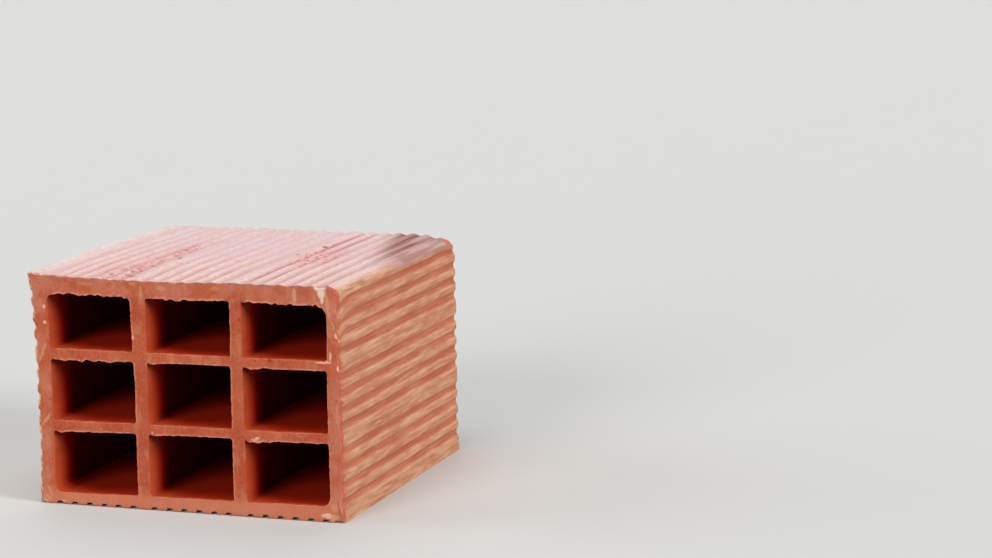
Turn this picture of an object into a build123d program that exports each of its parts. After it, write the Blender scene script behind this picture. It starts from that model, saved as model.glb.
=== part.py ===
from build123d import *
import os

# A hollow clay brick, extruded through a die, cut to length by wire and fired as one piece.
# The frame is +Z up with its origin at the bottom centre, and the cells run along Y.

# Overall size in millimetres
brick_width = 190.0
brick_height = 135.0
brick_length = 190.0
corner_radius = 5.0

# Cells: three columns and three rows between the outer walls and the webs
cell_columns = 3
cell_rows = 3
outer_wall = 9.0
web = 8.0
inner_corner_radius = 1.5
outer_corner_radius = 5.0

# Keying grooves: one group over each column or row of cells, with a flat land between groups
groove_pitch = 9.3
groove_mouth = 5.4
groove_floor = 2.8
groove_depth = 1.8
groove_rounding = 1.0
grooves_over_column = 6
grooves_over_row = 4

cell_width = (brick_width - 2 * outer_wall - (cell_columns - 1) * web) / cell_columns
cell_height = (brick_height - 2 * outer_wall - (cell_rows - 1) * web) / cell_rows
column_pitch = cell_width + web
row_pitch = cell_height + web
middle_height = brick_height / 2


def reach_from_middle(vertex):
    """How far a corner of the section lies from the section's middle, both ways added."""
    return abs(vertex.X) + abs(vertex.Y - middle_height)


# One keying groove, its mouth on the line y = 0 and rounded into the face on both sides
with BuildSketch() as groove:
    with BuildLine():
        shoulder = groove_mouth / 2 + groove_rounding
        rounded_flanks = FilletPolyline(
            (-shoulder, 0),
            (-groove_mouth / 2, 0),
            (-groove_floor / 2, -groove_depth),
            (groove_floor / 2, -groove_depth),
            (groove_mouth / 2, 0),
            (shoulder, 0),
            radius=groove_rounding,
        )
        Polyline(rounded_flanks @ 1, (shoulder, groove_depth), (-shoulder, groove_depth), rounded_flanks @ 0)
    make_face()

# The die's outline: a rounded rectangle with groups of grooves in its four sides
with BuildSketch() as outline:
    with Locations((0, middle_height)):
        RectangleRounded(brick_width, brick_height, corner_radius)
    for face_height, turn in ((brick_height, 0), (0, 180)):
        with Locations((0, face_height)):
            with GridLocations(column_pitch, 0, cell_columns, 1):
                with GridLocations(groove_pitch, 0, grooves_over_column, 1):
                    add(groove.sketch, rotation=turn, mode=Mode.SUBTRACT)
    for face_side, turn in ((brick_width / 2, -90), (-brick_width / 2, 90)):
        with Locations((face_side, middle_height)):
            with GridLocations(0, row_pitch, 1, cell_rows):
                with GridLocations(0, groove_pitch, 1, grooves_over_row):
                    add(groove.sketch, rotation=turn, mode=Mode.SUBTRACT)

# The cells' outline: rounded most where a cell lies in a corner of the brick
with BuildSketch() as cells:
    with Locations((0, middle_height)):
        with GridLocations(column_pitch, row_pitch, cell_columns, cell_rows):
            Rectangle(cell_width, cell_height)
    fillet(cells.vertices().sort_by(reach_from_middle)[:-4], inner_corner_radius)
    fillet(cells.vertices().sort_by(reach_from_middle)[-4:], outer_corner_radius)

# The fired body: the outline without the cells, over the brick's length
with BuildPart() as brick_body:
    with BuildSketch(Plane.XZ.offset(brick_length / 2)):
        add(outline.sketch)
        add(cells.sketch, mode=Mode.SUBTRACT)
    extrude(amount=-brick_length)

brick_body.part.label = "brick_body"
os.makedirs("parts", exist_ok=True)
export_step(brick_body.part, "parts/brick_body.step")
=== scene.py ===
import math

import bmesh
import bpy
import numpy as np
from mathutils import Matrix, Vector, noise


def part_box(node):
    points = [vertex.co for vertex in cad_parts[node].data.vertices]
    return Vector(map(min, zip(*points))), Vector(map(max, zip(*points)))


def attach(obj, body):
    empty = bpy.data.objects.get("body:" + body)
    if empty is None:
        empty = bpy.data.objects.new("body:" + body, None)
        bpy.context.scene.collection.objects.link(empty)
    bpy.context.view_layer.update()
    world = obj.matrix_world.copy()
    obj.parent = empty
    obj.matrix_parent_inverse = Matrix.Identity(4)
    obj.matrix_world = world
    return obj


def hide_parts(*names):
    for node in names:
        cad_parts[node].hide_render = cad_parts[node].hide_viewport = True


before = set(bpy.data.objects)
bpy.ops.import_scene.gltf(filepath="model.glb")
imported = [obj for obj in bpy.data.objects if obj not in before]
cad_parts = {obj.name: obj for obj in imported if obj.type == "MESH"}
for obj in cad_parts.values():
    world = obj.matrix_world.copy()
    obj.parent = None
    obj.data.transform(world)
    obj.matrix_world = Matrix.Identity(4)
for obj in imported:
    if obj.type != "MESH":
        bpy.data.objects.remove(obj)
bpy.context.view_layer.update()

bpy.ops.object.select_all(action="DESELECT")

# The brick's end
# Clay is pushed through a die as one endless column and cut to length by a wire, so an end is a flat
# section through four walls and four webs around nine cells. It is a grid whose lines fall on every
# wall, web and keying groove, so that each of them can be shaped later.
mm = 0.001
low, high = (np.array(corner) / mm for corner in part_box("brick_body"))
brick_width, brick_length, brick_height = high - low
half_width, half_length = brick_width / 2, brick_length / 2

cells_across = 3
cells_up = 3
outer_wall = 9.0
web = 8.0
groove_pitch = 9.3
grooves_over_column = 6
grooves_over_row = 4
groove_line_offsets = (0.0, 0.8, 1.4, 2.0, 3.5)
arris_radius = 5.0
arris_lines = (1.0, 2.0, 3.0, 4.0, 5.0, 6.1)

cell_width = (brick_width - 2 * outer_wall - (cells_across - 1) * web) / cells_across
cell_height = (brick_height - 2 * outer_wall - (cells_up - 1) * web) / cells_up
column_centres = [(i - (cells_across - 1) / 2) * (cell_width + web) for i in range(cells_across)]
row_centres = [brick_height / 2 + (i - (cells_up - 1) / 2) * (cell_height + web) for i in range(cells_up)]


def groove_centres(group_centres, count):
    """Centres of the keying grooves, one group of them over each column or row of cells."""
    return [c + (i - (count - 1) / 2) * groove_pitch for c in group_centres for i in range(count)]


def section_lines(group_centres, count, cell_size, start, end):
    """Every grid line one way across the section: grooves, cell walls, web middles and round corners."""
    mouth = cell_size / 2 - (count - 1) / 2 * groove_pitch
    offsets = groove_line_offsets + (mouth, groove_pitch / 2)
    lines = [g + side * o for g in groove_centres(group_centres, count) for o in offsets for side in (-1, 1)]
    lines += [(a + b) / 2 for a, b in zip(group_centres, group_centres[1:])]
    lines += [start, end]
    lines += [start + step for step in arris_lines] + [end - step for step in arris_lines]
    return np.unique(np.round(lines, 3))


x_lines = section_lines(column_centres, grooves_over_column, cell_width, -half_width, half_width)
z_lines = section_lines(row_centres, grooves_over_row, cell_height, 0.0, brick_height)

grid_size = 1.0
bpy.ops.mesh.primitive_grid_add(
    x_subdivisions=len(x_lines) - 1,
    y_subdivisions=len(z_lines) - 1,
    size=grid_size,
    rotation=(math.radians(90), 0, 0),
)
brick = bpy.context.object
brick.name = brick.data.name = "clay_brick"
bpy.ops.object.transform_apply(location=True, rotation=True, scale=True)


def read_points(mesh):
    """The mesh's points in millimetres, one row each."""
    flat = np.empty(len(mesh.vertices) * 3)
    mesh.vertices.foreach_get("co", flat)
    return flat.reshape(-1, 3) / mm


def write_points(mesh, points):
    """Put the mesh's points where the rows say, in millimetres."""
    mesh.vertices.foreach_set("co", (points * mm).ravel())
    mesh.update()


end_points = read_points(brick.data)
column = np.rint((end_points[:, 0] * mm / grid_size + 0.5) * (len(x_lines) - 1)).astype(int)
row = np.rint((end_points[:, 2] * mm / grid_size + 0.5) * (len(z_lines) - 1)).astype(int)
end_points[:, 0] = x_lines[column]
end_points[:, 1] = -half_length
end_points[:, 2] = z_lines[row]
write_points(brick.data, end_points)


def in_a_cell(x, z):
    """True where a point of the section lies inside one of the cells."""
    across = min(abs(x - c) for c in column_centres) < cell_width / 2
    up = min(abs(z - c) for c in row_centres) < cell_height / 2
    return across and up


def select_edges(mesh, chosen):
    """Select in edit mode the edges of the mesh for which chosen(edge) is true, and nothing else."""
    bpy.ops.mesh.select_mode(type="EDGE")
    bpy.ops.mesh.select_all(action="DESELECT")
    form = bmesh.from_edit_mesh(mesh)
    for edge in form.edges:
        edge.select_set(chosen(edge))
    bmesh.update_edit_mesh(mesh)


bpy.ops.object.mode_set(mode="EDIT")
bpy.ops.mesh.select_mode(type="FACE")
bpy.ops.mesh.select_all(action="DESELECT")
form = bmesh.from_edit_mesh(brick.data)
for face in form.faces:
    middle = face.calc_center_median() / mm
    face.select_set(in_a_cell(middle.x, middle.z))
bmesh.update_edit_mesh(brick.data)
bpy.ops.mesh.delete(type="FACE")

# The brick's length
# The column of clay keeps the die's section over the whole brick, inside and out. The front end's outline
# and the nine cell outlines are drawn out along the brick, in short steps near the two cuts, where wire and
# handling have worked the clay, and the far end closes them.
steps_at_cut = (0.5, 0.7, 1.0, 1.3, 1.7, 2.2, 2.8, 3.4)
steps_between = 40
cell_steps_at_cut = (0.6, 1.1, 2.3, 8.0)
cell_steps_between = 1
torn_zones = ((-54.0, -33.0, -95.0, 45.0), (30.0, 60.0, -38.0, 50.0))
torn_cuts = 3
touching = 0.01
merged_within = 0.02


def steps_along(at_cut, between):
    """Step lengths from one cut to the other: short ones at both cuts, even ones between them."""
    middle = (brick_length - 2 * sum(at_cut)) / between
    return list(at_cut) + [middle] * between + list(reversed(at_cut))


def on_outside(x, z):
    """True where a point of the section lies on the brick's outside."""
    return abs(abs(x) - half_width) < touching or z < touching or z > brick_height - touching


def outline_edge(edge, outside):
    """True for an open edge of the front end, on the brick's outside or round a cell as asked."""
    if not edge.is_boundary or any(abs(v.co.y / mm + half_length) > touching for v in edge.verts):
        return False
    return all(on_outside(v.co.x / mm, v.co.z / mm) for v in edge.verts) == outside


def lengthwise_in_a_torn_zone(edge):
    """True for an edge along the brick's length on its top, inside one of the torn zones."""
    a, b = (v.co / mm for v in edge.verts)
    if min(a.z, b.z) < brick_height - touching or abs(a.x - b.x) > touching:
        return False
    return any(x0 < a.x < x1 and y0 < (a.y + b.y) / 2 < y1 for x0, x1, y0, y1 in torn_zones)


bpy.ops.mesh.select_all(action="SELECT")
bpy.ops.mesh.duplicate_move(TRANSFORM_OT_translate={"value": (0, brick_length * mm, 0)})
bpy.ops.mesh.flip_normals()
for outside, steps in (
    (True, steps_along(steps_at_cut, steps_between)),
    (False, steps_along(cell_steps_at_cut, cell_steps_between)),
):
    select_edges(brick.data, lambda edge: outline_edge(edge, outside))
    for step in steps:
        bpy.ops.mesh.extrude_edges_move(TRANSFORM_OT_translate={"value": (0, step * mm, 0)})
bpy.ops.mesh.select_all(action="SELECT")
bpy.ops.mesh.remove_doubles(threshold=merged_within * mm)
select_edges(brick.data, lengthwise_in_a_torn_zone)
bpy.ops.mesh.subdivide(number_cuts=torn_cuts)
bpy.ops.mesh.select_all(action="SELECT")
bpy.ops.mesh.normals_make_consistent(inside=False)
bpy.ops.object.mode_set(mode="OBJECT")

# The keying grooves
# Ribs in the die leave rounded grooves along all four sides, which key the mortar and the plaster. They have
# crept a little on the way out, up on the right side and to the left on top. Those on top are worn shallow
# toward the back, and the wire has smeared the ends of all and dragged down those high on the right.
groove_depth = 1.8
groove_reach = 4.5
bed_and_mouth_on_top = (0.3, 4.3)
bed_and_mouth_on_sides = (0.8, 3.3)
bed_and_mouth_below = (1.4, 2.4)
groove_wander = 0.25
groove_depth_spread = (0.88, 1.08)
worn_middle_y = (-70.0, 25.0)
worn_middle_left_x, worn_middle_right_x = (-46.0, -26.0), (34.0, 26.0)
worn_left_y = (-50.0, 60.0)
worn_right_zones = (((26.0, 34.0), (-40.0, 10.0)), ((48.0, 56.0), (-50.0, 10.0)))
worn_right_share = 0.35
worn_away = 0.75
unworn_at_back = (94.0, 85.0)
left_strip_x = (-84.0, -76.0)
left_strip_share = 0.4
smear_reach = 5.0
smear_on_top = 0.72
smear_at_left = 0.45
smear_low_at_left = 0.25
low_at_left_z = (75.0, 45.0)
smear_below = 0.15
smear_at_right = 0.75
smear_reach_at_right = 2.5
smear_reach_high_at_right = 6.0
high_at_right_z = (95.0, 120.0)
smear_at_back = 0.35
smear_reach_at_back = 4.0
highlight_from_groove = 2.6
highlight_half_width = 0.9
almost_one = 0.999
top_creep_x = (-half_width, -83.0, -74.0, -50.0, -37.0, -24.0, 23.0, 37.0, 74.0, 90.0, half_width)
top_creep_y = (-88.0, -50.0, 95.0)
top_creep = (
    (0.0, -2.4, -4.0, -3.0, -2.6, -1.8, -1.5, -0.4, -0.2, 0.0, 0.0),
    (0.0, -3.6, -5.2, -4.6, -3.8, -3.0, -2.8, -2.0, -1.8, -0.5, 0.0),
    (0.0, 0.0, 0.0, 0.0, -1.4, -0.6, -2.0, -1.8, -2.6, -0.5, 0.0),
)
creep_reach = 7.0
right_creep_z = (0.0, 12.0, 50.0, 85.0, 123.0, 131.0, brick_height)
right_creep = (0.0, -0.5, 0.8, 1.8, 2.4, 1.0, 0.0)
dragged_down = 4.5
dragged_over = 7.0
dragged_from_z, dragged_to_z = (98.0, 108.0), (134.0, 124.0)
chance = np.random.default_rng(11)


def ease(start, end, value):
    """A soft step from 0 at start to 1 at end."""
    share = np.clip((value - start) / (end - start), 0, 1)
    return share * share * (3 - 2 * share)


def bell(distance, width):
    """1 at no distance, falling away softly over about this width."""
    return np.exp(-((distance / width) ** 2))


def fade(distance, reach):
    """1 at no distance, falling straight to 0 at the reach."""
    return np.clip(1 - distance / reach, 0, 1)


def lumps(points, size, seed, stretch=(1, 1, 1)):
    """Smooth noise from -1 to 1 with lumps of about this size, longer along an axis that is stretched."""
    scaled = points / (np.array(stretch) * size) + seed
    return np.array([noise.noise(Vector(point)) for point in scaled])


def blended(along, places, rows, across, row_places):
    """A value given at places along one axis for several rows, blended from row to row across them."""
    one_row = np.eye(len(row_places))
    shares = [np.interp(across, row_places, one_row[i]) for i in range(len(row_places))]
    return sum(share * np.interp(along, places, row) for share, row in zip(shares, rows))


true_points = read_points(brick.data)
x, y, z = true_points.T
points = true_points.copy()
from_front = y + half_length
from_cut = half_length - np.abs(y)
from_skin = np.minimum.reduce([x + half_width, half_width - x, z, brick_height - z])
on_end = from_cut < touching
on_skin = from_skin < touching

at_front = np.exp(-from_front / smear_reach)
worn_middle = ease(*worn_middle_y, y) * ease(*worn_middle_right_x, x) * ease(*worn_middle_left_x, x)
worn_left = ease(*worn_left_y, y) * ease(*reversed(worn_middle_left_x), x)
worn_right = worn_right_share * sum(ease(*across, x) * ease(*along, y) for across, along in worn_right_zones)
worn_top = (worn_middle + worn_left + worn_right) * ease(*unworn_at_back, y)
kept_on_top = 1 - smear_on_top * at_front - worn_away * worn_top
kept_on_top *= left_strip_share + (1 - left_strip_share) * ease(*left_strip_x, x)
kept_at_left = 1 - (smear_at_left + smear_low_at_left * ease(*low_at_left_z, z)) * at_front
kept_below = 1 - smear_below * at_front
reach_at_right = smear_reach_at_right + smear_reach_high_at_right * ease(*high_at_right_z, z)
kept_at_right = 1 - smear_at_right * np.exp(-from_front / reach_at_right)
kept_at_back = 1 - smear_at_back * np.exp(-(half_length - y) / smear_reach_at_back)
column_grooves = np.array(groove_centres(column_centres, grooves_over_column))
row_grooves = np.array(groove_centres(row_centres, grooves_over_row))
groove_share, crest_highlight = np.zeros((2, len(points)))
for along, below, centres, axis, inward, kept, bed_and_mouth in (
    (x, brick_height - z, column_grooves, 2, -1, kept_on_top, bed_and_mouth_on_top),
    (x, z, column_grooves, 2, 1, kept_below, bed_and_mouth_below),
    (z, x + half_width, row_grooves, 0, 1, kept_at_left, bed_and_mouth_on_sides),
    (z, half_width - x, row_grooves, 0, -1, kept_at_right, bed_and_mouth_on_sides),
):
    nearest = np.abs(along[:, None] - centres).argmin(axis=1)
    profile = 1 - ease(*bed_and_mouth, np.abs(along - centres[nearest]))
    depth = groove_depth * chance.uniform(*groove_depth_spread, len(centres))[nearest] * kept * kept_at_back
    near = fade(below, groove_reach)
    on_face = near > almost_one
    points[:, axis] += inward * profile * depth * near
    points[:, 2 - axis] += np.interp(along, centres, chance.normal(0, groove_wander, len(centres))) * near
    groove_share = np.maximum(groove_share, profile * on_face)
    # On the sides, a painted highlight along the lower flank of each groove, where the land's edge faces up
    # into the light.
    if axis == 0:
        beside_crest = along - centres[nearest] + highlight_from_groove
        crest_highlight = np.maximum(crest_highlight, bell(beside_crest, highlight_half_width) * on_face * kept)
at_right = fade(half_width - x, creep_reach)
points[:, 2] += np.interp(z, right_creep_z, right_creep) * at_right
dragged = np.exp(-from_front / dragged_over) * ease(*dragged_from_z, z) * ease(*dragged_to_z, z)
points[:, 2] -= dragged_down * dragged * at_right
near_top = fade(brick_height - z, creep_reach)
points[:, 0] += blended(x, top_creep_x, top_creep, y, top_creep_y) * near_top

# The long corners and the cells' corners
# The die is rounded at the brick's four long corners and at the cell corners next to them, so that the
# clay flows evenly there. The other cell corners are nearly sharp. Three cell corners of the top row are worn
# to other radii, and the die has left the brick's two left corners squarer than the others.
cell_outer_radius = 5.0
cell_inner_radius = 1.5
worn_cell_corners = {(2, 2, 1, 1): 7.5, (0, 2, 1, 1): 3.5, (0, 2, -1, 1): 6.0}
rounding_fades = 2.5
left_corner_rounding = {(-1, 1): 0.45, (-1, -1): 0.1}


def round_corner(points, centre_x, centre_z, side, up, radius, beyond, amount=1.0):
    """Turn square rings round a centre into arcs of the same reach, and less so beyond the radius."""
    out = (points[:, 0] - centre_x) * side
    rise = (points[:, 2] - centre_z) * up
    ring = np.maximum(out, rise)
    part = (out >= 0) & (rise >= 0) & (ring > 0) & (ring < radius + beyond)
    out, rise, ring = out[part], rise[part], ring[part]
    turn = np.where(out >= rise, rise / ring, 2 - out / ring) * math.pi / 4
    rounded = amount * (1 - ease(0, beyond, ring - radius) if beyond > 0 else np.ones_like(ring))
    points[part, 0] = centre_x + side * (out + (ring * np.cos(turn) - out) * rounded)
    points[part, 2] = centre_z + up * (rise + (ring * np.sin(turn) - rise) * rounded)


for side in (-1, 1):
    for up, edge_z in ((-1, 0.0), (1, brick_height)):
        middle_x = side * (half_width - arris_radius)
        amount = left_corner_rounding.get((side, up), 1.0)
        round_corner(points, middle_x, edge_z - up * arris_radius, side, up, arris_radius, 0.0, amount)
    for column_number, column_centre in enumerate(column_centres):
        for row_number, row_centre in enumerate(row_centres):
            for up in (-1, 1):
                outermost = column_number - 1 == side and row_number - 1 == up
                usual_radius = cell_outer_radius if outermost else cell_inner_radius
                radius = worn_cell_corners.get((column_number, row_number, side, up), usual_radius)
                middle_x = column_centre + side * (cell_width / 2 - radius)
                middle_z = row_centre + up * (cell_height / 2 - radius)
                round_corner(points, middle_x, middle_z, side, up, radius, rounding_fades)

# The die's drift and the walls' lean
# The cores that leave the cells hang in the die on thin arms and have drifted: each wall lies a little beside
# its place, and the two level webs are thinner than the upright ones. The left wall leans out towards its top
# and its foot, which is nearly square in front. The front's upper edge dips, and no face is quite flat.
column_walls = [c + side * cell_width / 2 for c in column_centres for side in (-1, 1)]
row_walls = [c + up * cell_height / 2 for c in row_centres for up in (-1, 1)]
column_drifts = (
    (1.1, 1.8, 1.5, 1.8, 1.6, 0.7),
    (1.3, 2.4, 2.3, 2.2, 1.8, 0.7),
    (1.3, 1.3, 2.6, 3.0, 1.9, 1.8),
)
row_drifts = (
    (-1.8, 1.2, -0.8, 1.6, -0.2, -1.2),
    (-0.4, 2.6, -0.1, 2.6, -0.2, -1.4),
    (0.4, 2.8, 0.3, 2.6, 0.3, -1.6),
)
left_skin_drift, right_skin_drift = 0.4, -0.5
skin_drift_share = 0.4
skin_thickness = 6.0
left_wall_x = (-78.0, -91.0)
lean_y = (-95.0, -28.0, 10.0, 58.0, 90.0)
lean_out = (3.4, 4.4, 3.2, 1.8, 0.3)
lean_from_z = 64.0
lean_curve = 2.2
foot_out = 1.2
foot_z = (34.0, 4.0)
squared_from_front = 40.0
squared_down_at_most = 0.7
left_arris_up = 0.8
left_arris_half_width = 6.0
left_arris_y = (60.0, 20.0)
dip = 1.0
dip_x, dip_half_width = -20.0, 34.0
dip_z = (100.0, 128.0)
dip_over = 16.0
bulge = 0.35
bulge_size = 70.0
bulge_seeds = (5.0, 9.0, 14.0)
flat_bed = 10.0

from_bed = np.minimum(z, brick_height - z)
deep = skin_drift_share + (1 - skin_drift_share) * ease(0, skin_thickness, from_bed)
sideways = [(left_skin_drift, *drift, right_skin_drift) for drift in column_drifts]
points[:, 0] += deep * blended(x, [-half_width, *column_walls, half_width], sideways, z, row_centres)
inside_skin = ease(0, skin_thickness, half_width - np.abs(x))
upward = [(0, *drift, 0) for drift in row_drifts]
points[:, 2] += inside_skin * blended(z, [0, *row_walls, brick_height], upward, x, column_centres)
lean = np.clip((z - lean_from_z) / (brick_height - lean_from_z), 0, 1) ** lean_curve
points[:, 0] -= lean * np.interp(y, lean_y, lean_out) * ease(*left_wall_x, x)
points[:, 0] -= foot_out * ease(*foot_z, z) * ease(*left_wall_x, x)
round_left = fade(half_width + x, arris_radius)
round_bottom = fade(z, arris_radius)
squared = 2 * round_left * round_bottom * ease(squared_from_front, 0, from_front)
points[:, 0] -= squared
points[:, 2] -= np.minimum(squared, squared_down_at_most * z)
points[:, 2] += left_arris_up * bell(x + half_width, left_arris_half_width) * lean * ease(*left_arris_y, y)
points[:, 2] -= dip * bell(x - dip_x, dip_half_width) * ease(*dip_z, z) * np.exp(-from_front / dip_over)
bulges = np.stack([lumps(true_points, bulge_size, seed, (1, 2, 1)) for seed in bulge_seeds], axis=1)
points += bulge * bulges * ease(0, flat_bed, z)[:, None]

# The wire cuts
# The wire leaves each end flat but not smooth: shallow waves, fine drag lines from top to bottom, softened
# outer edges, and burrs of dragged clay that hang ragged over the cell mouths below each wall.
wave_height, wave_size = 0.22, 11.0
drag_height, drag_size = 0.10, 1.7
edge_softened = 0.55
edge_softened_over, edge_softened_in = 2.2, 1.6
edge_unevenness, edge_lump_size = 0.6, 5.0
burr_fade_up = 2.4
burr_fade_in = 1.6
burrs_and_sags = (
    ((0.35, 0.30, 1.7), (0.30, 0.25, 1.6), (1.10, 0.40, 2.2)),
    ((0.90, 0.90, 0.5), (0.15, 0.15, 1.9), (0.95, 0.20, 0.4)),
    ((0.95, 0.85, 0.0), (0.85, 0.60, 0.3), (0.60, 0.95, 0.2)),
)
burr_changes_across = (0.2, 0.45)
sag_over = 7.0
teeth_size, fine_teeth_size, fine_teeth_share = 3.4, 1.3, 0.4
floor_teeth = 0.35
side_teeth_size, side_teeth_at_right, side_teeth_at_left = 2.0, 0.28, 0.14
burr_stands_out, roof_stands_out, floor_sinks_in = 0.25, 0.1, 0.15
rim_at_roof, rim_at_floor, rim_at_right, rim_at_left = 0.9, 0.7, 0.8, 0.2
ceiling_shade_z = (-5.0, -1.0)
lit_across = (0.45, 0.0)

outward = np.where(y < 0, -1.0, 1.0)
at_cut = np.exp(-from_cut / burr_fade_in)
waves = wave_height * lumps(true_points, wave_size, 21.0)
drag_lines = drag_height * lumps(true_points, drag_size, 25.0, (1, 1, 9))
points[:, 1] += outward * on_end * (waves + drag_lines)
uneven = 0.7 + edge_unevenness * lumps(true_points, edge_lump_size, 31.0)
softened = edge_softened * uneven * on_skin * fade(from_cut, edge_softened_over) ** 2
toward_middle = -np.stack([x / half_width, np.zeros_like(x), 2 * z / brick_height - 1], axis=1)
across_skin = np.abs(toward_middle) > almost_one
points += np.sign(toward_middle) * across_skin * softened[:, None]
near_skin = fade(from_skin, edge_softened_in)
points[:, 1] -= outward * on_end * edge_softened * uneven * near_skin**2
lip, cell_floor, lit_floor, ceiling_shade = np.zeros((4, len(points)))
for row_number, row_centre in enumerate(row_centres):
    for column_number, column_centre in enumerate(column_centres):
        seed = 40.0 + 7 * (cells_across * row_number + column_number)
        teeth = lumps(true_points, teeth_size, seed, (1, 40, 40))
        teeth += fine_teeth_share * lumps(true_points, fine_teeth_size, seed + 3, (1, 40, 40))
        side_bites = lumps(true_points, side_teeth_size, seed + 5, (40, 40, 1))
        over_x = np.abs(x - column_centre) - cell_width / 2
        over_z = np.abs(z - row_centre) - cell_height / 2
        beside = fade(over_x, burr_fade_up) * (over_x > -touching) * fade(over_z, 1.0)
        above = fade(over_z, burr_fade_up) * (over_z > -touching) * ease(0.5, -4.5, over_x)
        is_top = z > row_centre
        is_right = x > column_centre
        within = (over_x < touching) & (over_z < touching)
        across = (x - column_centre) / cell_width + 0.5
        on_floor = within & (over_z > -0.5) & ~is_top
        cell_floor = np.maximum(cell_floor, on_floor)
        # Painted light: the share of each floor, near its left wall, that is written brighter.
        lit_floor = np.maximum(lit_floor, on_floor * ease(*lit_across, across))
        # Painted shade: the share of each cell's upper walls and ceiling that is written darker.
        ceiling_shade = np.maximum(ceiling_shade, within * ease(*ceiling_shade_z, over_z) * is_top)
        left_burr, right_burr, left_sag = burrs_and_sags[row_number][column_number]
        burr = left_burr + (right_burr - left_burr) * ease(*burr_changes_across, across)
        sag = left_sag * np.exp(-np.maximum(across, 0) * cell_width / sag_over)
        hang = burr * np.clip(0.3 + 1.5 * teeth, -0.4, 1.6) + sag
        stands_out = np.where(is_top, burr_stands_out * burr + roof_stands_out, -floor_sinks_in)
        side_teeth = np.where(is_right, side_teeth_at_right, side_teeth_at_left)
        points[:, 2] -= above * at_cut * np.where(is_top, hang, floor_teeth * teeth)
        points[:, 0] += beside * at_cut * side_teeth * side_bites
        points[:, 1] += outward * on_end * above * stands_out
        level_rim = above * np.where(is_top, rim_at_roof, rim_at_floor)
        upright_rim = beside * np.where(is_right, rim_at_right, rim_at_left)
        lip = np.maximum(lip, np.maximum(level_rim, upright_rim) * on_end)

# The torn and worn places
# Where the clay clung to the die its skin has torn on top: in a streak, and in a patch with a furrow through
# it toward the back, with small pits in both. Handling has chipped the front corners, and rubbed the right
# arris and the back right corner red.
coarse_size, fine_size = 4.5, 1.5
streak_x, streak_half_width, streak_widening = -41.5, 7.0, 2.5
streak_widens_y = (-40.0, -90.0)
streak_fades_y, streak_deepens_y = (60.0, 20.0), (-10.0, -60.0)
streak_middle_length = 22.0
patch_x, patch_y, patch_half_width, patch_half_length = 46.0, -2.0, 13.0, 28.0
furrow_x, furrow_half_width, furrow_depth, furrow_share = 35.6, 1.6, 0.4, 0.8
furrow_front_y, furrow_back_y = (-30.0, 14.0), (88.0, 70.0)
torn_depth = 0.35
pit_depth = 0.5
pit_stretch = 3.2
pit_edge = (1.8, 0.3)
pit_places = (
    (35.6, 5.0, 1.0), (36.6, 10.5, 0.9), (36.2, 20.0, 1.0), (32.8, 36.0, 0.9), (45.4, 10.0, 1.0),
    (45.8, 18.0, 1.0), (45.2, -26.0, 0.9), (39.2, -30.0, 0.6), (29.0, 3.5, 0.6), (64.6, -8.5, 0.7),
    (35.4, -9.0, 0.7), (44.8, -9.0, 0.8), (53.6, 3.0, 0.5), (54.2, -13.0, 0.5), (35.8, 29.0, 0.6),
    (-34.2, -25.0, 0.8), (-43.5, 4.0, 0.6), (-43.6, -60.0, 0.5), (-41.0, -78.0, 0.5), (-41.2, -46.0, 0.4),
    (-51.5, -80.0, 0.35), (-34.5, -86.0, 0.6), (-42.0, -14.0, 0.5), (-42.5, -33.0, 0.4), (-52.0, -64.0, 0.35),
)
front_chips = (
    (-95.0, 1.0, 5.0, 1.3),
    (92.0, 1.0, 7.0, 1.6),
    (85.0, 135.0, 5.0, 1.1),
    (95.0, 106.0, 3.5, 0.9),
    (95.0, 127.0, 6.0, 0.8),
)
chip_core = 0.3
chip_push = (0.6, 0.6, 0.4)
worn_corner = (95.0, 95.0, 135.0)
worn_corner_reach, worn_corner_core = 16.0, 2.0
worn_corner_depth = 3.6
worn_corner_form = (0.5, 0.5, 1.5)
worn_corner_push = (0.4, 0.3, 0.8)

on_top = on_skin * (z > brick_height - touching)
on_right = on_skin * (x > half_width - touching)
coarse = lumps(true_points, coarse_size, 61.0, (1, 2.2, 1))
fine = lumps(true_points, fine_size, 63.0, (1, 1.6, 1))
streak_width = streak_half_width + streak_widening * ease(*streak_widens_y, y)
streak_strength = 0.45 * ease(*streak_fades_y, y) + 0.55 * ease(*streak_deepens_y, y)
streak_strength += 0.5 * bell(y, streak_middle_length)
streak = bell(x - streak_x - 1.5 * coarse, streak_width) * streak_strength
patch = bell(x - patch_x, patch_half_width) * bell(y - patch_y, patch_half_length)
furrow = bell(x - furrow_x - 0.5 * coarse, furrow_half_width)
furrow *= ease(*furrow_back_y, y) * ease(*furrow_front_y, y)
torn = np.maximum.reduce([streak, patch, furrow_share * furrow]) * (1 + 0.8 * coarse)
torn = on_top * np.clip(torn, 0, 1)
points[:, 2] -= torn * torn_depth * np.clip(0.2 + 1.8 * fine, -0.3, 1.6) + furrow_depth * on_top * furrow
for pit_x, pit_y, strength in pit_places:
    away = np.hypot(x - pit_x, (y - pit_y) / pit_stretch)
    points[:, 2] -= on_top * pit_depth * strength * ease(*pit_edge, away)
chipped = np.zeros(len(points))
for chip_x, chip_z, reach, depth in front_chips:
    away = np.sqrt((x - chip_x) ** 2 + from_front**2 + (z - chip_z) ** 2) + 1.2 * coarse + 0.8 * fine
    bite = ease(reach, chip_core * reach, away)
    inward = (-np.sign(chip_x), 1.0, np.sign(brick_height / 2 - chip_z))
    points += (bite * depth)[:, None] * np.multiply(inward, chip_push)
    chipped = np.maximum(chipped, bite)
to_corner = np.sqrt(((true_points - worn_corner) ** 2 * worn_corner_form).sum(axis=1))
rubbed = ease(worn_corner_reach, worn_corner_core, to_corner + 2 * coarse)
points -= (rubbed * worn_corner_depth)[:, None] * worn_corner_push
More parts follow.
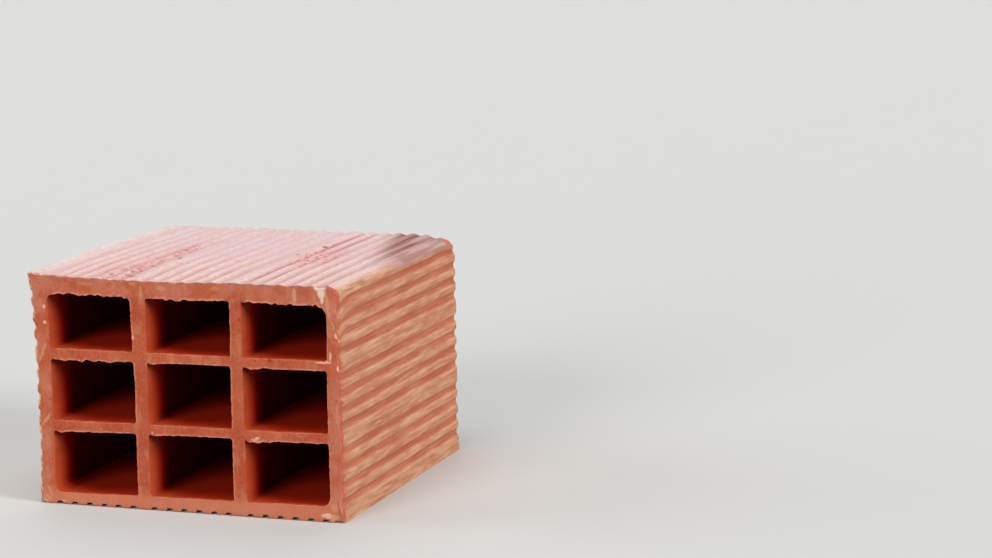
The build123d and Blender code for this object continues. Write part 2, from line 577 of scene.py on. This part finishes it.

# What the finishes read: the pale left rim of both cuts, a darker line along the upper edges, the red zones,
# and a painted shadow at the back right.
left_rim = 0.8 * ease(2.4, 0.8, x + half_width) * (0.7 + 0.5 * coarse) * on_end
# A darker, broken line along the upper edge of each cut and the top's front edge.
upper_edge = on_end * ease(brick_height - 2.2, brick_height - 0.8, z)
edge = np.maximum(on_top * ease(1.6, 0.2, from_cut), upper_edge)
smear = on_right * np.exp(-from_front / 3.5) * (1 - 0.5 * ease(100, 108, z))
front_left_strip = on_top * (0.15 + 0.4 * ease(-60, -75, x)) * ease(-88, -94, y)
reddened = np.maximum.reduce([chipped, rubbed, smear, front_left_strip])
# Painted shadow: the top turns darker and browner toward the back right, as shaded by a brick standing beside
# it.
shadow_from_x = 76.0 - 0.27 * np.maximum(y + 10, 0)
shadow_share_at_back = on_skin * ease(0, 18, x - shadow_from_x) * ease(-40, -15, y) * (0.4 + 0.6 * ease(-20, 30, y))
shadow_share_at_back *= 1 + 0.3 * ease(86, 94, x)
groove_reds = 0.8 - 0.7 * np.clip(worn_middle + worn_left, 0, 1) - 0.5 * worn_right
groove_reds += 0.5 * ease(62, 70, x) * ease(-15, 15, y)
groove_reds *= left_strip_share + (1 - left_strip_share) * ease(*left_strip_x, x)
groove_reds += 0.25 * lumps(true_points, 9, 71.0, (1, 60, 1)) + 0.45 * streak + 0.45 * patch
unrubbed = np.maximum(ease(half_width + 4, 91, x), ease(-30, 10, y))
over_arris = np.maximum(0.6 * ease(132, 135, z), ease(-30, 10, y) * ease(126, 131, z))

write_points(brick.data, points)
bpy.ops.object.shade_smooth_by_angle(angle=math.radians(40))


def paint(mesh, name, values):
    """Keep a value for each point, from 0 to 1, for the clay's finishes to read."""
    mesh.attributes.new(name, "FLOAT", "POINT").data.foreach_set("value", np.clip(values, 0, 1))


for name, values in (
    ("groove", groove_share),
    ("lip", lip),
    ("top", np.where(on_top, unrubbed, on_right * over_arris)),
    ("outer", 1 - ease(5, 11, from_skin)),
    ("red", reddened),
    ("torn", torn),
    ("back_right_shadow", shadow_share_at_back),
    ("rosy", on_top * groove_reds * ease(0.05, 0.85, groove_share)),
    ("floor", cell_floor),
    ("lit_floor", lit_floor),
    ("shade_under_ceiling", ceiling_shade),
    ("rim", left_rim),
    ("crest_highlight", crest_highlight),
    ("back", ease(-70, 30, y)),
    ("bleached", on_top * ease(-84, -93, x)),
    ("edge", edge),
    ("foot", ease(16, 4, z)),
):
    paint(brick.data, name, values)

# The clay's finishes
# The wire bares raw clay that fires to an even orange red, streaked from top to bottom. The die polishes the
# outside, where salts dry out as a pale bloom on all that stands proud; the cells are deep red, with painted
# shade.
# Noise makes what is spread over a face, and lists of soft spots make the single marks on it.
clay_roughness = 0.9
spot_bend, spot_bend_size = 2.0, 2.5
spot_overreach = 1.25
spot_full_at = 0.52
spot_depth_in_cut, spot_depth_in_skin = 20.0, 10.0


def display(red, green, blue):
    """A colour given as it looks on a screen, from 0 to 255, as the linear values that a shader takes."""
    return tuple(((c / 255 + 0.055) / 1.055) ** 2.4 for c in (red, green, blue)) + (1.0,)


class Finish:
    """A clay finish in the making: its node tree, the place on the brick, and short ways to add nodes."""

    def __init__(self, name):
        self.material = bpy.data.materials.new(name)
        self.material.use_nodes = True
        self.tree = self.material.node_tree
        self.shader = self.tree.nodes["Principled BSDF"]
        self.place = self.node("ShaderNodeTexCoord").outputs["Object"]

    def node(self, kind, settings=(), **inputs):
        """Add a node. An input is given by its name, or by its number after an underscore."""
        node = self.tree.nodes.new(kind)
        for key, value in dict(settings).items():
            setattr(node, key, value)
        for key, value in inputs.items():
            socket = node.inputs[int(key[1:])] if key[0] == "_" else node.inputs[key]
            if isinstance(value, bpy.types.NodeSocket):
                self.tree.links.new(value, socket)
            else:
                socket.default_value = value
        return node

    def noise(self, size, stretch=(1, 1, 1), detail=2.0, shift=0.0):
        """Noise from 0 to 1 with lumps of this size in millimetres, longer along a stretched axis."""
        scale = [1 / (size * mm * s) for s in stretch]
        mapping = self.node("ShaderNodeMapping", Vector=self.place, Scale=scale, Location=(shift,) * 3)
        lumpy = self.node("ShaderNodeTexNoise", Vector=mapping.outputs[0], Scale=1.0, Detail=detail)
        return lumpy.outputs["Fac"]

    def between(self, value, start, end, low=0.0, high=1.0):
        """A value eased from low to high as another one goes from start to end."""
        settings = {"interpolation_type": "SMOOTHSTEP"}
        node = self.node("ShaderNodeMapRange", settings, _0=value, _1=start, _2=end, _3=low, _4=high)
        return node.outputs[0]

    def mottle(self, size, start, end, low=0.0, high=1.0, stretch=(1, 1, 1), detail=2.0, shift=0.0):
        """Noise with lumps of this size, eased from low to high as it goes from start to end."""
        return self.between(self.noise(size, stretch, detail, shift), start, end, low, high)

    def painted(self, name):
        """A value painted on the mesh."""
        return self.node("ShaderNodeAttribute", {"attribute_name": name}).outputs["Fac"]

    def maths(self, operation, first, second=0.0):
        """A sum of two values or the like, kept from 0 to 1."""
        settings = {"operation": operation, "use_clamp": True}
        return self.node("ShaderNodeMath", settings, _0=first, _1=second).outputs[0]

    def times(self, first, second):
        """One value times another."""
        return self.maths("MULTIPLY", first, second)

    def mix(self, share, first, second):
        """The first colour or value where the share is 0, and the second where it is 1."""
        settings = {"data_type": "RGBA"}
        return self.node("ShaderNodeMix", settings, _0=share, _6=first, _7=second).outputs[2]

    def ragged(self, name, low=0.3, high=0.6, size=2.0):
        """A painted share with its soft edge broken up by noise."""
        roughened = self.maths("ADD", self.painted(name), self.mottle(size, 0.3, 0.7, -0.25, 0.25))
        return self.times(self.between(roughened, low, high), self.between(self.painted(name), 0.02, 0.2))

    def spots(self, marks):
        """Soft spots from 0 to 1, each given by its middle, half sizes, turn in degrees and strength."""
        scale = 1 / (spot_bend_size * mm)
        lumpy = self.node("ShaderNodeTexNoise", Vector=self.place, Scale=scale, Detail=1.0).outputs["Color"]
        settings = {"operation": "SUBTRACT"}
        lumpy = self.node("ShaderNodeVectorMath", settings, _0=lumpy, _1=(0.5, 0.5, 0.5)).outputs[0]
        settings = {"operation": "MULTIPLY_ADD"}
        bend = (spot_bend * mm,) * 3
        bent = self.node("ShaderNodeVectorMath", settings, _0=lumpy, _1=bend, _2=self.place).outputs[0]
        total = 0.0
        for middle, half_sizes, turn, strength in marks:
            settings = {"vector_type": "TEXTURE"}
            mapping = self.node("ShaderNodeMapping", settings, Vector=bent, Location=[c * mm for c in middle])
            mapping.inputs["Rotation"].default_value = [math.radians(angle) for angle in turn]
            mapping.inputs["Scale"].default_value = [spot_overreach * size * mm for size in half_sizes]
            settings = {"gradient_type": "SPHERICAL"}
            near = self.node("ShaderNodeTexGradient", settings, Vector=mapping.outputs[0]).outputs["Fac"]
            total = self.maths("MAXIMUM", self.between(near, 0.0, spot_full_at, 0.0, strength), total)
        return total

    def spots_on_cut(self, marks):
        """Spots on the front cut, from x, z, half width, half height, turn and strength."""
        spots = []
        for x, z, width, height, turn, strength in marks:
            spots.append(((x, -half_length, z), (width, spot_depth_in_cut, height), (0, turn, 0), strength))
        return self.spots(spots)

    def spots_on_top(self, marks):
        """Spots on the top, from x, y, half width, half length and strength."""
        spots = []
        for x, y, width, length, strength in marks:
            spots.append(((x, y, brick_height), (width, length, spot_depth_in_skin), (0, 0, 0), strength))
        return self.spots(spots)

    def spots_on_right(self, marks):
        """Spots on the right side, from y, z, half length, half height, turn and strength."""
        spots = []
        for y, z, length, height, turn, strength in marks:
            spots.append(((half_width, y, z), (spot_depth_in_skin, length, height), (turn, 0, 0), strength))
        return self.spots(spots)

    def finish(self, colour, grain, lines, relief_depth, shine=0.1):
        """Wire up the shader: the colour, and grain and lines as relief. Fired clay is all but matt."""
        relief = self.mix(0.5, grain, lines)
        bump = self.node("ShaderNodeBump", Height=relief, Distance=relief_depth * mm, Strength=1.0)
        self.tree.links.new(colour, self.shader.inputs["Base Color"])
        self.tree.links.new(bump.outputs[0], self.shader.inputs["Normal"])
        self.shader.inputs["Roughness"].default_value = clay_roughness
        self.shader.inputs["Specular IOR Level"].default_value = shine
        return self.material


tan_marks = (
    (68.8, 129.0, 1.3, 4.6, 0, 0.7), (88.6, 124.0, 1.1, 8.5, -6, 0.6), (-90.0, 89.5, 0.9, 6.5, 24, 0.5),
    (-89.5, 50.0, 0.9, 5.0, 35, 0.6), (-91.0, 3.6, 3.4, 1.5, 20, 0.6), (-89.0, 8.0, 0.9, 4.0, -24, 0.5),
    (90.0, 9.0, 3.6, 2.6, 20, 0.5), (92.5, 62.0, 0.8, 7.0, 0, 0.4), (-75.0, 52.5, 3.0, 0.9, 0, 0.5),
    (91.5, 113.0, 0.8, 3.0, -20, 0.5), (-13.0, 129.6, 3.2, 1.4, 0, 0.5), (-31.0, 131.5, 2.4, 1.2, 0, 0.4),
    (-60.0, 130.5, 4.0, 1.0, 5, 0.3), (88.0, 3.5, 3.5, 2.0, 0, 0.6), (20.0, 131.0, 3.0, 1.2, 0, 0.35),
    (-26.0, 127.0, 1.0, 4.0, 0, 0.35),
)
cream_marks = (
    (84.2, 4.2, 3.2, 1.5, 0, 0.8), (-92.5, 1.6, 2.2, 0.7, 25, 0.7), (85.0, 91.6, 4.8, 0.8, -3, 0.8),
    (89.4, 95.0, 0.8, 3.2, 0, 0.7), (93.6, 105.6, 0.7, 3.4, -26, 0.8), (-88.0, 116.2, 1.0, 1.1, 0, 0.8),
    (-87.8, 107.0, 1.0, 1.1, 0, 0.8), (-32.2, 100.7, 1.0, 1.0, 0, 0.6), (-6.4, 134.0, 1.1, 0.8, 0, 0.7),
    (40.7, 45.2, 0.9, 0.8, 0, 0.5), (-22.0, 45.7, 0.9, 0.8, 0, 0.5), (94.0, 88.5, 1.2, 1.3, 0, 0.7),
    (-80.5, 1.8, 1.5, 0.7, 0, 0.6), (56.0, 44.5, 1.6, 0.6, 10, 0.5), (43.0, 46.0, 2.2, 0.8, -25, 0.6),
)
wedge_marks = (
    (84.4, 134.0, 3.4, 2.6, 0, 0.9), (84.9, 130.6, 2.3, 2.8, 0, 0.9), (85.4, 127.4, 1.2, 2.6, 0, 0.9),
)
dark_marks = (
    (52.5, 91.4, 1.4, 1.7, 0, 0.8), (47.5, 92.5, 1.0, 0.8, 0, 0.4), (34.4, 114.0, 1.1, 1.4, 0, 0.5),
    (92.0, 8.0, 0.7, 6.0, -12, 0.5), (33.0, 122.0, 0.8, 1.6, 0, 0.3),
)


def cut_clay():
    """The finish of the two cut ends."""
    clay = Finish("cut_clay")
    inner = clay.mix(clay.mottle(15, 0.35, 0.65, detail=3), display(172, 74, 46), display(183, 88, 59))
    pinker = clay.mottle(14, 0.38, 0.62, detail=3, shift=2.5)
    outer = clay.mix(pinker, display(181, 88, 58), display(190, 112, 88))
    colour = clay.mix(clay.painted("outer"), inner, outer)
    dull = clay.mottle(7, 0.52, 0.66, 0, 0.45, (1, 1, 1.6), detail=3, shift=4.0)
    colour = clay.mix(dull, colour, display(194, 126, 90))
    streaks = clay.mottle(2.6, 0.45, 0.7, 0, 0.3, (1, 1, 10), detail=3, shift=7.0)
    colour = clay.mix(streaks, colour, display(172, 80, 55))
    tan_streaks = clay.mottle(2.6, 0.62, 0.72, 0, 0.2, (1, 1, 9), shift=19.0)
    colour = clay.mix(tan_streaks, colour, display(205, 142, 100))
    grain = clay.mottle(0.9, 0.4, 0.7, 0, 0.22, detail=3, shift=2.0)
    colour = clay.mix(grain, colour, display(215, 135, 105))
    pits = clay.mottle(1.5, 0.80, 0.86, 0, 0.6, detail=0, shift=17.0)
    colour = clay.mix(pits, colour, display(120, 50, 36))
    rim = clay.between(clay.painted("lip"), 0.3, 1.0, 0, 0.9)
    rim = clay.times(rim, clay.mottle(3, 0.3, 0.55, shift=5.0))
    colour = clay.mix(rim, colour, display(222, 142, 118))
    foot = clay.between(clay.painted("foot"), 0, 1, 0, 0.7)
    colour = clay.mix(foot, colour, display(202, 122, 92))
    colour = clay.mix(clay.ragged("rim", 0.25, 0.75), colour, display(220, 176, 144))
    broken = clay.mottle(4, 0.40, 0.60, 0.1, 0.8, shift=71.0)
    colour = clay.mix(clay.times(clay.painted("edge"), broken), colour, display(150, 98, 82))
    colour = clay.mix(clay.spots_on_cut(tan_marks), colour, display(212, 152, 114))
    colour = clay.mix(clay.spots_on_cut(dark_marks), colour, display(148, 54, 38))
    colour = clay.mix(clay.spots_on_cut(cream_marks), colour, display(236, 182, 158))
    colour = clay.mix(clay.spots_on_cut(wedge_marks), colour, display(218, 196, 174))
    return clay.finish(colour, clay.noise(0.7, shift=1.0), clay.noise(2.4, (1, 1, 6), shift=3.0), 0.3)


furrow_marks = (
    (35.2, 42.0, 1.5, 46.0, 0.7), (44.5, 50.0, 1.4, 38.0, 0.55), (30.6, 40.0, 0.8, 20.0, 0.3),
    (35.6, -42.0, 1.3, 40.0, 0.5), (44.8, -45.0, 1.1, 30.0, 0.35),
)
pit_half_sizes = (1.25, 3.0)
highlight_beside, highlight_before = 1.4, 6.0
highlight_half_sizes = (1.1, 2.6)
highlight_strength = 0.6
side_tan_marks = (
    (-88.0, 93.0, 7.0, 4.0, 14, 0.7), (-86.0, 128.5, 9.0, 2.5, 0, 0.6), (-84.0, 117.0, 8.0, 2.2, 20, 0.6),
    (-90.0, 109.5, 5.0, 3.0, 30, 0.5), (-80.0, 5.0, 14.0, 2.5, 0, 0.5), (-70.0, 49.0, 12.0, 3.0, 0, 0.4),
)
side_pale_marks = (
    (-93.5, 104.0, 2.0, 1.0, 35, 0.9), (-91.5, 130.5, 2.5, 0.9, 20, 0.7), (-87.0, 126.0, 3.5, 0.7, 15, 0.5),
    (-93.0, 88.0, 1.8, 1.2, 0, 0.8), (-92.0, 3.0, 3.5, 1.2, 0, 0.6), (-89.0, 120.0, 3.5, 0.6, 30, 0.5),
    (-84.0, 132.5, 3.5, 0.7, 0, 0.6), (-66.0, 129.5, 5.0, 0.8, 0, 0.5), (-50.0, 132.0, 6.0, 0.7, 0, 0.4),
)
side_brown_marks = (
    (-89.0, 123.5, 4.0, 1.0, 20, 0.5), (-90.0, 113.5, 4.0, 0.9, 30, 0.5), (-80.0, 109.0, 8.0, 0.6, 0, 0.5),
    (-92.0, 98.0, 3.0, 1.5, 0, 0.4), (-88.0, 9.0, 8.0, 0.8, 0, 0.5), (-78.0, 130.5, 6.0, 0.7, 0, 0.5),
    (-60.0, 131.8, 7.0, 0.6, 0, 0.45), (-70.0, 127.0, 9.0, 0.8, 0, 0.4), (-91.0, 79.0, 3.0, 1.4, 0, 0.3),
)


def skin_clay():
    """The finish of the skin that the die has polished: tan over red on the sides, and whiter on top."""
    clay = Finish("skin_clay")
    streaks = clay.noise(2.2, (1, 16, 1), detail=3, shift=3.0)
    lighter = clay.mottle(9, 0.35, 0.65, stretch=(1, 4, 1), shift=6.0)
    red = clay.mix(lighter, display(190, 104, 76), display(206, 124, 94))
    red = clay.mix(clay.between(streaks, 0.3, 0.6, 0.5, 0.0), red, display(178, 88, 62))
    fine = clay.mottle(1.2, 0.3, 0.7, -0.35, 0.35, (1, 24, 1), shift=81.0)
    sunk = clay.node("ShaderNodeMath", {"operation": "ADD"}, _0=clay.painted("groove"), _1=fine).outputs[0]
    proud = clay.between(sunk, 0.3, 0.95, 1.0, 0.0)
    patches = clay.mottle(16, 0.3, 0.6, 0.5, 1.0, (1, 5, 1), detail=3, shift=9.0)
    bloom = clay.times(clay.times(proud, patches), clay.between(streaks, 0.3, 0.6, 0.5, 1.0))
    darker = clay.mottle(5, 0.4, 0.65, stretch=(1, 6, 1), shift=12.0)
    tan = clay.mix(darker, display(211, 156, 122), display(196, 140, 106))
    side = clay.mix(bloom, red, tan)
    # Painted highlight: pale lines along the ridges of the sides, where they face the light.
    lit = clay.times(clay.painted("crest_highlight"), clay.mottle(6, 0.35, 0.60, 0.05, 0.6, (1, 6, 1), shift=37.0))
    side = clay.mix(lit, side, display(222, 170, 144))
    dull = clay.mottle(2.2, 0.40, 0.64, 0, 0.4, (1, 8, 1), detail=3, shift=83.0)
    side = clay.mix(dull, side, display(176, 110, 82))
    creamy = clay.mottle(1.8, 0.46, 0.68, 0, 0.45, (1, 12, 1), detail=3, shift=87.0)
    side = clay.mix(clay.times(creamy, proud), side, display(226, 184, 152))
    side = clay.mix(clay.spots_on_right(side_tan_marks), side, display(208, 158, 122))
    side = clay.mix(clay.spots_on_right(side_pale_marks), side, display(232, 188, 164))
    side = clay.mix(clay.spots_on_right(side_brown_marks), side, display(172, 104, 78))
    # Whiter in front and more lavender toward the back, where the colour is also written a little dimmer as
    # painted shade.
    white = clay.mix(clay.painted("back"), display(228, 202, 197), display(224, 201, 205))
    pinkness = clay.mottle(12, 0.35, 0.65, 0, 0.5, (1, 5, 1), detail=3, shift=15.0)
    white = clay.mix(pinkness, white, display(227, 192, 191))
    greyness = clay.mottle(16, 0.5, 0.68, 0, 0.4, (1, 3, 1), shift=22.0)
    white = clay.mix(greyness, white, display(222, 208, 196))
    white = clay.mix(clay.painted("bleached"), white, display(230, 216, 213))
    paler = clay.mottle(7, 0.4, 0.7, stretch=(1, 7, 1), detail=3, shift=31.0)
    shade = clay.mix(paler, display(200, 150, 144), display(206, 166, 162))
    broken = clay.mottle(2.2, 0.3, 0.6, 0.65, 1.0, (1, 6, 1), detail=3, shift=27.0)
    top = clay.mix(clay.between(streaks, 0.25, 0.5, 0.3, 0.0), white, shade)
    top = clay.mix(clay.times(clay.painted("rosy"), broken), top, shade)
    blotches = clay.mottle(6, 0.42, 0.62, 0, 0.35, (1, 3, 1), detail=3, shift=61.0)
    top = clay.mix(blotches, top, display(229, 186, 182))
    salmon = clay.mottle(1.9, 0.42, 0.60, 0.1, 1.0, (1, 3, 1), shift=33.0)
    top = clay.mix(clay.times(clay.painted("torn"), salmon), top, display(222, 148, 142))
    rust = clay.mottle(1.6, 0.52, 0.64, 0, 0.85, (1, 2.5, 1), shift=40.0)
    top = clay.mix(clay.times(clay.painted("torn"), rust), top, display(174, 108, 102))
    mottles = clay.mottle(2.0, 0.42, 0.60, 0, 0.45, (1, 2.5, 1), detail=3, shift=57.0)
    top = clay.mix(mottles, top, display(216, 180, 175))
    specks = clay.mottle(1.5, 0.60, 0.70, 0, 0.6, (1, 2.5, 1), shift=46.0)
    clusters = clay.mottle(8, 0.42, 0.58, 0.15, 1.0, shift=93.0)
    top = clay.mix(clay.times(specks, clusters), top, display(196, 140, 134))
    flecks = clay.mottle(1.7, 0.70, 0.78, 0, 0.6, (1, 2.5, 1), detail=1, shift=52.0)
    top = clay.mix(clay.times(flecks, clusters), top, display(160, 112, 106))
    # Painted shadow at the back right: darker, browner stripes over the top, deepest in the grooves.
    shadow_stripes = clay.mottle(3.5, 0.32, 0.62, 0.55, 1.0, (1, 14, 1), detail=3, shift=66.0)
    in_grooves = clay.between(clay.painted("groove"), 0.2, 0.8)
    back_right_shadow = clay.mix(in_grooves, display(174, 130, 122), display(136, 88, 82))
    top = clay.mix(clay.times(clay.painted("back_right_shadow"), shadow_stripes), top, back_right_shadow)
    top = clay.mix(clay.spots_on_top(furrow_marks), top, display(188, 120, 128))
    top = clay.mix(clay.ragged("red", 0.25, 0.75), top, display(196, 122, 108))
    side = clay.mix(clay.ragged("red", 0.2, 0.7), side, display(190, 98, 72))
    colour = clay.mix(clay.painted("top"), side, top)
    pits = [(x, y, *pit_half_sizes, strength) for x, y, strength in pit_places]
    # Painted highlights: a pale spot on the rim just in front of each pit.
    pit_highlights = []
    for x, y, strength in pit_places:
        pit_highlights.append((x - highlight_beside, y - highlight_before, *highlight_half_sizes, highlight_strength * strength))
    colour = clay.mix(clay.spots_on_top(pit_highlights), colour, display(238, 190, 182))
    colour = clay.mix(clay.spots_on_top(pits), colour, display(158, 96, 94))
    broken = clay.mottle(4, 0.40, 0.60, 0, 0.7, shift=71.0)
    colour = clay.mix(clay.times(clay.painted("edge"), broken), colour, display(156, 96, 82))
    grain = clay.mottle(0.8, 0.55, 0.75, 0, 0.2, detail=3, shift=2.0)
    colour = clay.mix(grain, colour, display(170, 90, 70))
    return clay.finish(colour, clay.noise(0.7, shift=1.0), clay.noise(1.5, (1, 8, 1), shift=3.0), 0.3)


def cell_clay():
    """The finish of the walls inside the cells, with painted shade: darker the further they lie from the
    cuts.
    """
    clay = Finish("cell_clay")
    lighter = clay.mottle(14, 0.35, 0.65, stretch=(1, 4, 1), detail=3)
    colour = clay.mix(lighter, display(176, 68, 38), display(190, 78, 46))
    streaks = clay.mottle(1.6, 0.35, 0.7, 0, 0.25, (1, 20, 1), detail=3, shift=7.0)
    colour = clay.mix(streaks, colour, display(168, 62, 36))
    from_middle = clay.node("ShaderNodeSeparateXYZ", Vector=clay.place).outputs["Y"]
    from_middle = clay.maths("ABSOLUTE", from_middle)

    def inside(start, end):
        """0 to 1 from one depth in millimetres behind the cuts to another."""
        return clay.between(from_middle, (half_length - start) * mm, (half_length - end) * mm)

    # Painted shade: the walls are written darker the deeper they lie behind each cut, where little light
    # reaches.
    colour = clay.mix(inside(4, 20), colour, display(188, 28, 9))
    colour = clay.mix(inside(11, 29), colour, display(105, 9, 3))
    # Painted shade under each cell's ceiling, from the mouth inward.
    colour = clay.mix(clay.times(clay.painted("shade_under_ceiling"), 0.5), colour, display(105, 9, 3))
    # The floors get their own colours, written darker again deep inside as painted shade.
    ground = clay.mix(inside(35, 80), display(172, 40, 15), display(166, 24, 7))
    # Painted light: a brighter pool on each floor beside its left wall, just inside the mouth.
    ground = clay.mix(clay.times(clay.painted("lit_floor"), inside(22, 2)), ground, display(190, 72, 36))
    colour = clay.mix(clay.times(clay.painted("floor"), inside(0.5, 5)), colour, ground)
    lines = clay.noise(1.4, (1, 10, 1), shift=3.0)
    return clay.finish(colour, clay.noise(0.8, shift=1.0), lines, 0.25, shine=0.03)


for finish in (cut_clay(), skin_clay(), cell_clay()):
    brick.data.materials.append(finish)
corners = np.empty(len(brick.data.loops), dtype=int)
face_starts = np.empty(len(brick.data.polygons), dtype=int)
brick.data.loops.foreach_get("vertex_index", corners)
brick.data.polygons.foreach_get("loop_start", face_starts)
face_on_end = np.logical_and.reduceat(on_end[corners], face_starts)
face_on_skin = np.logical_and.reduceat(on_skin[corners], face_starts)
finish_numbers = np.where(face_on_end, 0, np.where(face_on_skin, 1, 2)).astype("i")
brick.data.polygons.foreach_set("material_index", finish_numbers)
brick.data.update()

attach(brick, "root")
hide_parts("brick_body")

# The studio
# A pale floor under soft lamps, so far off that they light all of it evenly: one overhead, two low ones at
# the front and the right, and weak ones at the left and behind. The world gives a dim fill, and carries the
# floor's grey on behind it. At level 1 a face turned to a lamp shows its colour as written.
floor_size = 60.0
floor_colour = display(208, 208, 206)
floor_bounce_colour = display(136, 136, 135)
floor_roughness = 0.8
backdrop_colour = display(206, 206, 204)
fill_strength = 0.05
lamps = (
    ("overhead_lamp", 20, 76, 34, 0.30),
    ("front_lamp", -12, 20, 30, 0.56),
    ("right_lamp", 78, 18, 22, 0.79),
    ("left_lamp", -80, 30, 40, 0.25),
    ("back_lamp", 200, 60, 45, 0.22),
)

for name, azimuth, elevation, softness, level in lamps:
    turn = Matrix.Rotation(math.radians(azimuth), 4, "Z")
    turn = turn @ Matrix.Rotation(math.radians(90 - elevation), 4, "X")
    light = bpy.data.lights.new(name, "SUN")
    light.angle = math.radians(softness)
    light.energy = level * math.pi
    holder = bpy.data.objects.new(name, light)
    holder.matrix_world = turn
    bpy.context.collection.objects.link(holder)


def seen_directly(nodes, links):
    """1 where the camera looks, itself or in a reflection, and 0 for light that bounces."""
    path = nodes.new("ShaderNodeLightPath")
    either = nodes.new("ShaderNodeMath")
    either.operation = "MAXIMUM"
    links.new(path.outputs["Is Camera Ray"], either.inputs[0])
    links.new(path.outputs["Is Glossy Ray"], either.inputs[1])
    return either.outputs[0]


bpy.ops.mesh.primitive_plane_add(size=floor_size)
floor = bpy.context.object
floor.name = "floor"
floor_paint = bpy.data.materials.new("floor_paint")
floor_paint.use_nodes = True
nodes, links = floor_paint.node_tree.nodes, floor_paint.node_tree.links
shown = nodes.new("ShaderNodeMix")
shown.data_type = "RGBA"
shown.inputs[6].default_value = floor_bounce_colour
shown.inputs[7].default_value = floor_colour
links.new(seen_directly(nodes, links), shown.inputs[0])
links.new(shown.outputs[2], nodes["Principled BSDF"].inputs["Base Color"])
nodes["Principled BSDF"].inputs["Roughness"].default_value = floor_roughness
floor.data.materials.append(floor_paint)

world = bpy.data.worlds.new("studio")
bpy.context.scene.world = world
world.use_nodes = True
nodes, links = world.node_tree.nodes, world.node_tree.links
fill = nodes["Background"]
fill.inputs["Color"].default_value = (1, 1, 1, 1)
fill.inputs["Strength"].default_value = fill_strength
backdrop = nodes.new("ShaderNodeBackground")
backdrop.inputs["Color"].default_value = backdrop_colour
mixed = nodes.new("ShaderNodeMixShader")
links.new(seen_directly(nodes, links), mixed.inputs[0])
links.new(fill.outputs[0], mixed.inputs[1])
links.new(backdrop.outputs[0], mixed.inputs[2])
links.new(mixed.outputs[0], nodes["World Output"].inputs["Surface"])

# The camera
# It stands where the photograph was taken from: right of the brick, a little above it, and a touch tilted.
camera_place = Vector((0.6936, -1.5298, 0.4060))
camera_azimuth = 19.42
camera_drop = 9.81
camera_roll = -1.13
camera_lens = 103.6
camera_sensor_width = 36.0
lens = bpy.data.cameras.new("camera")
lens.sensor_width = camera_sensor_width
lens.lens = camera_lens
camera = bpy.data.objects.new("camera", lens)
bpy.context.collection.objects.link(camera)
turn = (
    Matrix.Rotation(math.radians(camera_azimuth), 4, "Z")
    @ Matrix.Rotation(math.radians(90 - camera_drop), 4, "X")
    @ Matrix.Rotation(math.radians(camera_roll), 4, "Z")
)
camera.matrix_world = Matrix.Translation(camera_place) @ turn
bpy.context.scene.camera = camera
bpy.context.scene.view_settings.view_transform = "Standard"
